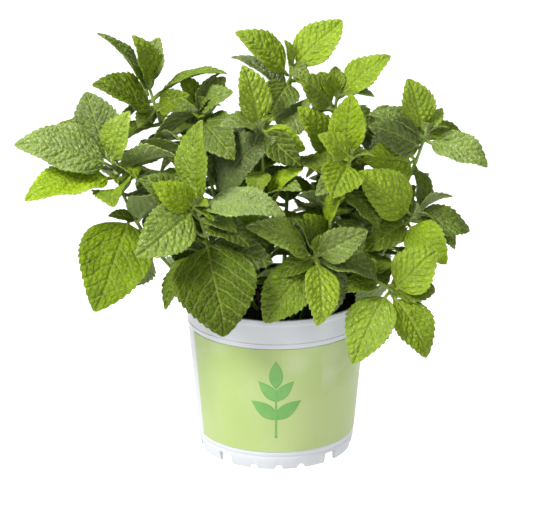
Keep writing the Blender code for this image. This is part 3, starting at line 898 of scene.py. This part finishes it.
def filling_leaf(name, share, bearing, rng):
    """A leaf at a joint that has room there and keeps within the plant, or None."""
    stem = STEMS[name]
    _, first, second = stem.cross(share)
    for attempt in range(FILL_TRIES):
        turn = math.radians(bearing + rng.uniform(-70.0, 70.0))
        outward = first * math.cos(turn) + second * math.sin(turn)
        rise = math.radians(rng.uniform(-35.0, 40.0))
        long = rng.uniform(27.0, 44.0) * (1.0 - 0.035 * attempt) * MM
        reach = outward * math.cos(rise) + UP * math.sin(rise)
        form = leaf_to(stem, share, stem.point(share) + unit(reach) * long,
                       long * rng.uniform(0.60, 0.75), rng.uniform(0.05, 0.16),
                       rng.uniform(-25.0, 25.0))
        form.face_up()
        if is_clear(form, name) and not hides_large_leaf(form) and not shows_outside(form):
            return form
    return None


def add_filling_leaves():
    """Pairs of leaves at the joints of every stem, wherever there is room for them."""
    rng = np.random.default_rng(5)
    total = 0
    for share in FILL_SHARES:
        for number, name in enumerate(STEMS):
            for side in (0.0, 180.0):
                form = filling_leaf(name, share, 51.0 * number + 1000.0 * share + side, rng)
                if form is None:
                    continue
                total += 1
                SHEETS.append(sheet_of(form))
                leaf = grow_leaf(form, 500 + total, rng.uniform(0.15, 0.75),
                                 rng.uniform(0.0, 0.7), 1.0 * MM)
                add_leaves(f"fill_leaf_{total}", [leaf])


add_large_leaves()
add_small_leaves()
add_crowns()
add_filling_leaves()


# -------------------- pot
def label_radius(height):
    """Outer radius of the label film."""
    return LABEL_RADIUS_HIGH + (height - LABEL_HIGH[2]) * DRAFT


def body_radius(height):
    """Outer radius of the pot's body, which carries the label flush in its wall."""
    return label_radius(height) - 0.2 * MM


def liner_radius(height):
    """Outer radius of the inner skin."""
    return body_radius(height) - LINER_INSET


def section(stations):
    """Points of a section; each station is a radius, a height and steps in millimetres."""
    return np.array([(radius + out * MM, height + up * MM)
                     for radius, height, steps in stations for out, up in steps])


def turned(profile, angles):
    """Turn a section about the pot's axis at the given angles; its points and faces."""
    shell = around(profile[:, 0], angles[:, None], profile[:, 1])
    quads = np.array(grid_faces(len(angles) + 1, len(profile), wrap=True))
    return shell + AXIS, quads % (len(angles) * len(profile))


def foot_heights(angles):
    """How high the skirt's lower edge stands at each angle: slots and small arches."""
    degrees = np.degrees(angles)
    heights = np.zeros(len(angles))
    for third in range(3):
        middle = FOOT_CENTRE + 120.0 * third
        away = (degrees - middle + 180.0) % 360.0 - 180.0
        slot = np.abs(np.abs(away) - (WIDE_FOOT + SLOT) / 2.0) < SLOT / 2.0
        heights[slot] = SLOT_HEIGHT
        for turn in NOTCH_ANGLES:
            reach = np.radians(away - turn) * FOOT_RADIUS
            arch = np.sqrt(np.clip(NOTCH_RADIUS ** 2 - reach ** 2, 0.0, None))
            heights = np.maximum(heights, arch)
    return heights


def build_pot():
    """White shell: rounded lip with fine ribs, grooves above and below the label, feet."""
    lip_low = RIM_Z - LIP_HEIGHT
    high = LABEL_HIGH[2] + 0.10 * MM
    low = LABEL_LOW[2] - 0.10 * MM
    profile = section([
        (body_radius(RIM_Z) - POT_WALL, RIM_Z, [(0.0, -0.5), (0.35, -0.05)]),
        (LIP_RADIUS, RIM_Z, [(-0.6, 0.0), (-0.15, -0.25), (0.0, -0.8)]),
        (LIP_RADIUS, lip_low, [(0.0, 0.4), (-0.25, 0.0)]),
        (body_radius(lip_low), lip_low, [(-0.35, -0.25), (-0.4, -0.9)]),
        (body_radius(GROOVE_HIGH), GROOVE_HIGH,
         [(0.0, 0.45), (-0.25, 0.2), (-0.25, -0.2), (0.0, -0.45)]),
        (body_radius(high), high, [(0.0, 0.3), (-0.1, 0.05), (-0.15, 0.0)]),
        (body_radius(low), low, [(-0.15, 0.0), (-0.1, -0.05), (0.0, -0.3)]),
        (body_radius(GROOVE_LOW), GROOVE_LOW,
         [(0.0, 0.4), (-0.22, 0.15), (-0.22, -0.15), (-0.1, -0.4)]),
        (body_radius(SLOT_HEIGHT), SLOT_HEIGHT, [(0.0, 0.6)]),
        (FOOT_RADIUS, 0.0, [(0.05, 0.5), (-0.25, 0.0), (-1.5, 0.0), (-1.8, 0.5)]),
        (FOOT_RADIUS, FLOOR_Z, [(-1.8, 0.0)]),
        (0.0, FLOOR_Z, [(5.0, 0.0), (5.0, 1.4)]),
        (body_radius(FLOOR_Z), FLOOR_Z, [(-2.2, 1.4)]),
    ])
    # The last slot's edges pass half a turn, so the shell laps over itself for 20 degrees.
    edges = [FOOT_CENTRE + 120.0 * third + sign * edge + step
             for third in range(3) for sign in (-1.0, 1.0)
             for edge in (WIDE_FOOT / 2.0, WIDE_FOOT / 2.0 + SLOT) for step in (-0.12, 0.12)]
    degrees = np.unique(np.round(np.concatenate([np.arange(-180.0, 180.0, 0.75), edges]), 3))
    angles = np.radians(degrees)
    shell, quads = turned(profile, angles)
    heights = foot_heights(angles)[:, None]
    skirt = (profile[:, 1] < SLOT_HEIGHT) & (profile[:, 0] > FOOT_RADIUS - 2.5 * MM)
    lifted = np.maximum(shell[:, skirt, 2], heights + profile[skirt, 1] * 0.3)
    shell[:, skirt, 2] = np.where(heights > 0.0, lifted, shell[:, skirt, 2])
    # Fine upright ribs on the lip's band.
    band = (profile[:, 1] > lip_low + 0.3 * MM) & (profile[:, 0] > LIP_RADIUS - 0.05 * MM)
    rib = RIB_DEPTH * (np.sign(np.sin(angles * RIB_COUNT)) - 1.0)
    shell[:, band] += around(rib, angles, 0.0)[:, None, :]
    make_piece("pot_shell", shell.reshape(-1, 3), quads[:, ::-1].tolist(), white_material(),
               "pot", sharp=38.0)


def build_liner():
    """Black skin inside the pot."""
    floor = FLOOR_Z + 1.7 * MM
    profile = section([
        (liner_radius(RIM_Z), RIM_Z, [(0.0, -0.55), (-0.3, -0.35), (-0.6, -0.7)]),
        (liner_radius(95.0 * MM), 95.0 * MM, [(-0.6, 0.0)]),
        (liner_radius(90.0 * MM), 90.0 * MM, [(-0.6, 0.0)]),
        (liner_radius(floor), floor, [(-0.6, 0.6)]),
        (0.0, floor, [(5.5, 0.6), (5.5, 0.0)]),
        (liner_radius(floor), floor, [(0.0, 0.0)]),
    ])
    shell, quads = turned(profile, np.arange(360) / 360.0 * 2.0 * math.pi)
    make_piece("pot_inner_skin", shell.reshape(-1, 3), quads.tolist(), black_material(),
               "pot_liner", sharp=40.0)


def build_mix():
    """Peaty crumbs: an uneven disc with loose crumbs scattered over it."""
    rings, sides = 60, 180
    radius = np.linspace(0.0, MIX_RADIUS - 0.2 * MM, rings)[1:]
    angle = np.arange(sides) / sides * 2.0 * math.pi
    top = around(radius[:, None], angle, MIX_TOP - 1.0 * MM)
    x, y = top[..., 0], top[..., 1]
    top[..., 2] += (noise(x, y, 5, 22 * MM) * 1.1 + noise(x, y, 6, 7 * MM) * 0.8
                    + noise(x, y, 7, 2.6 * MM) * 0.5) * MM
    low_z = MIX_LOW[2] + 2.0 * MM
    low = around(radius[-1] - (MIX_TOP - MIX_LOW[2]) * DRAFT, angle, low_z)
    centres = [[0.0, 0.0, top[0, :, 2].mean()], [0.0, 0.0, low_z]]
    corners = np.vstack([top.reshape(-1, 3), low, centres]) + AXIS
    faces = grid_faces(rings - 1, sides, wrap=True)
    last = (rings - 2) * sides
    under = (rings - 1) * sides
    middle = under + sides
    for side in range(sides):
        after = (side + 1) % sides
        faces.append([last + side, last + after, under + after, under + side])
        faces.append([middle, after, side])
        faces.append([under + side, under + after, middle + 1])
    material = mix_material()
    ground = make_piece("peat_ground", corners, faces, material, "potting_mix")
    fix_normals(ground)
    rng = np.random.default_rng(11)
    crumbs, quads = [], []
    for index in range(CRUMBS):
        spot = math.sqrt(rng.uniform(0.0, 1.0)) * (MIX_RADIUS - 3.0 * MM)
        turn = rng.uniform(0.0, 2.0 * math.pi)
        size = rng.uniform(0.6, 1.7) * MM
        place = AXIS + around(spot, turn, MIX_TOP + rng.uniform(-0.6, 0.9) * MM)
        points, shell = crumb(size, rng)
        quads.extend([corner + index * len(points) for corner in quad] for quad in shell)
        crumbs.append(points + place)
    loose = make_piece("peat_crumbs", np.vstack(crumbs), quads, material)
    fix_normals(loose)


def crumb(size, rng):
    """A lumpy little ball."""
    rings, sides = 5, 8
    polar = np.repeat(np.arange(1, rings) / rings * math.pi, sides)
    turn = np.tile(np.arange(sides) / sides * 2.0 * math.pi, rings - 1)
    ball = around(np.sin(polar), turn, np.cos(polar))
    points = np.vstack([[0.0, 0.0, 1.0], ball, [0.0, 0.0, -1.0]])
    points = points * rng.uniform(0.75, 1.2, (len(points), 1))
    points = points * size * rng.uniform(0.6, 1.3, 3)
    faces = grid_faces(rings - 1, sides, 1, wrap=True)
    last = 1 + (rings - 2) * sides
    for side in range(sides):
        after = (side + 1) % sides
        faces.append([0, 1 + side, 1 + after])
        faces.append([last + side, len(points) - 1, last + after])
    return points, faces


def fix_normals(piece):
    """Turn every face outwards."""
    shape = bmesh.new()
    shape.from_mesh(piece.data)
    bmesh.ops.recalc_face_normals(shape, faces=shape.faces)
    shape.to_mesh(piece.data)
    shape.free()


build_pot()
build_liner()
build_mix()


# -------------------- label
def build_label():
    """The film wrapped round the body."""
    columns, rows = 409, 12
    angles = np.radians(LABEL_START + LABEL_SWEEP * np.linspace(0.0, 1.0, columns))
    heights = np.linspace(LABEL_LOW[2], LABEL_HIGH[2], rows)[:, None]
    sheets = [around(label_radius(heights) - inset, angles, heights).reshape(-1, 3) + AXIS
              for inset in (0.0, LABEL_FILM)]
    make_piece("label_wrap", np.vstack(sheets), sheet_faces(rows, columns), label_material(),
               "label", sharp=40.0)


def on_label(place, lift):
    """Points `lift` above the film; a place is (across, height) from its front middle."""
    across, height = place[..., 0], place[..., 1]
    turn = across / LABEL_RADIUS_HIGH - math.pi / 2.0
    return around(label_radius(height) + lift, turn, height)


def print_patch(name, outline_points, material):
    """A flat inked shape laid on the label; outline points are (across, height)."""
    points = np.array(outline_points)
    middle = points.mean(axis=0)
    rings, count = 7, len(points)
    layer = rings * count
    part = np.arange(1, rings + 1)[:, None, None] / rings
    spread = (middle + (points - middle) * part).reshape(-1, 2)
    lifts = (0.04 * MM, -0.02 * MM)
    corners = np.vstack([on_label(spread, lift) for lift in lifts]
                        + [on_label(middle, lift) for lift in lifts]) + AXIS
    faces = grid_faces(rings, count, 0, wrap=True)
    faces += grid_faces(rings, count, layer, flip=True, wrap=True)
    last = layer - count
    for side in range(count):
        after = (side + 1) % count
        faces.append([2 * layer, side, after])
        faces.append([2 * layer + 1, layer + after, layer + side])
        faces.append([last + after, last + side, layer + last + side, layer + last + after])
    fix_normals(make_piece(name, corners, faces, material))


def sprig_leaf(foot, angle, length, width):
    """Outline of one plain pointed leaf of the printed sprig."""
    share = np.linspace(0.0, 1.0, 24)
    half = width / 2.0 * np.sin(np.pi * share ** 0.85)
    right = np.stack([half, share * length], axis=-1)
    left = np.stack([-half[::-1], share[::-1] * length], axis=-1)[1:-1]
    points = np.vstack([right, left])
    turn = math.radians(angle)
    spin = np.array([[math.cos(turn), math.sin(turn)], [-math.sin(turn), math.cos(turn)]])
    return points @ spin + np.array(foot)


def build_print():
    """A plain upright sprig: a thin stalk with pointed leaves in pairs and one on top."""
    ink = ink_material()
    middle = (LABEL_LOW[2] + LABEL_HIGH[2]) / 2.0
    foot = middle - 25.0 * MM
    head = middle + 8.0 * MM
    stalk = np.array([(-0.9 * MM, foot), (0.9 * MM, foot), (0.6 * MM, head), (-0.6 * MM, head)])
    part = np.linspace(0.0, 1.0, 8, endpoint=False)[:, None]
    sides = [first + (second - first) * part
             for first, second in zip(stalk, np.roll(stalk, -1, axis=0))]
    print_patch("print_stalk", np.vstack(sides), ink)
    print_patch("print_leaf_top", sprig_leaf((0.0, middle + 8.5 * MM), 0.0, 19 * MM, 9 * MM), ink)
    for pair, (height, length, angle) in enumerate(((0.0, 19.0, 44.0), (-12.0, 22.0, 56.0))):
        for sign in (-1.0, 1.0):
            side = "left" if sign < 0.0 else "right"
            base = (sign * 1.7 * MM, middle + height * MM)
            print_patch(f"print_leaf_{side}_{pair}",
                        sprig_leaf(base, sign * angle, length * MM, length * 0.42 * MM), ink)


build_label()
build_print()

# -------------------- stage
CAMERA_DISTANCE = 1.344
CAMERA_PITCH = math.radians(18.11)
CAMERA_TARGET_Z = 0.1183
CAMERA_ASIDE = 0.0006
LENS = 138.7
FLOOR_SIZE = 6.0
SKY = 0.29
# The lamps: name, place, size, power in watts.
LAMPS = (
    ("key_light", (-0.88, -0.68, 1.20), 0.62, 36.0),
    ("top_light", (0.1, 0.6, 1.4), 0.8, 12.0),
    ("front_fill", (0.45, -1.35, 0.95), 1.0, 6.5),
)


def build_floor():
    """Pale floor, just below the pot."""
    size = FLOOR_SIZE
    floor = bpy.data.meshes.new("floor")
    floor.from_pydata([(-size, -size, 0.0), (size, -size, 0.0), (size, size, 0.0),
                       (-size, size, 0.0)], [], [(0, 1, 2, 3)])
    ground = bpy.data.objects.new("floor", floor)
    ground.location = (0.0, 0.0, -0.0002)
    tree = Nodes("floor_pale")
    tree.set(Base_Color=(0.30, 0.30, 0.30, 1.0), Roughness=0.9)
    tree.set(Emission_Color=(1.0, 1.0, 1.0, 1.0), Emission_Strength=0.98)
    floor.materials.append(tree.material)
    bpy.context.scene.collection.objects.link(ground)


def build_lights():
    """Even white sky and soft studio lamps that look at the plant."""
    world = bpy.data.worlds.new("studio")
    bpy.context.scene.world = world
    world.use_nodes = True
    sky = world.node_tree.nodes["Background"]
    sky.inputs[0].default_value = (1.0, 1.0, 1.0, 1.0)
    sky.inputs[1].default_value = SKY
    for name, place, size, power in LAMPS:
        light = bpy.data.lights.new(name, "AREA")
        light.shape = "DISK"
        light.size = size
        light.energy = power
        lamp = bpy.data.objects.new(name, light)
        lamp.location = place
        aim = Vector((AXIS[0], AXIS[1], 0.13)) - Vector(place)
        lamp.rotation_euler = aim.to_track_quat("-Z", "Y").to_euler()
        bpy.context.scene.collection.objects.link(lamp)


def build_camera():
    """The camera, in front of the plant and a little above it."""
    camera = bpy.data.objects.new("camera", bpy.data.cameras.new("camera"))
    camera.data.lens = LENS
    camera.data.sensor_width = 36.0
    camera.data.clip_end = 20.0
    target = Vector((AXIS[0] + CAMERA_ASIDE, AXIS[1], CAMERA_TARGET_Z))
    back = Vector((0.0, -math.cos(CAMERA_PITCH), math.sin(CAMERA_PITCH)))
    camera.location = target + back * CAMERA_DISTANCE
    camera.rotation_euler = (math.pi / 2.0 - CAMERA_PITCH, 0.0, 0.0)
    bpy.context.scene.collection.objects.link(camera)
    bpy.context.scene.camera = camera
    bpy.context.scene.view_settings.view_transform = "Standard"


build_floor()
build_lights()
build_camera()
